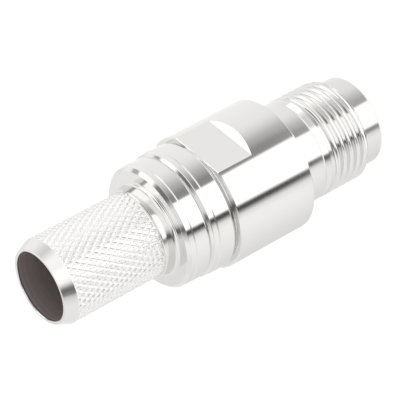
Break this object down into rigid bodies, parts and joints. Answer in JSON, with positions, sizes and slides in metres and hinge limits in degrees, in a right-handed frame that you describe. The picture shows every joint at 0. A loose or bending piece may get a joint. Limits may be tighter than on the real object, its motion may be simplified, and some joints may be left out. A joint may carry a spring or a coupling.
{
  "type": "tnc connector",
  "caption": "Straight TNC jack for a crimped coaxial cable: threaded mating end, body with wrench flats, stepped rings and a knurled crimp sleeve.",
  "frame": {"origin": "centre of the mating face, which the connector stands on", "axes": "+Z along the connector's axis, from the mating face to the cable end; the wrench flats face +Y and -Y"},
  "size_m": [0.0144, 0.0144, 0.0405],
  "materials": {
    "plated_jack_body": "bright nickel-like plate on turned brass",
    "plated_crimp_body": "bright nickel-like plate on turned and knurled brass",
    "ptfe": "turned PTFE",
    "gold_plate": "gold plate on turned spring bronze"
  },
  "bodies": {
    "root": {"jack_body": "plated_jack_body", "crimp_body": "plated_crimp_body", "front_insulator": "ptfe", "rear_insulator": "ptfe", "centre_contact": "gold_plate"}
  },
  "joints": []
}
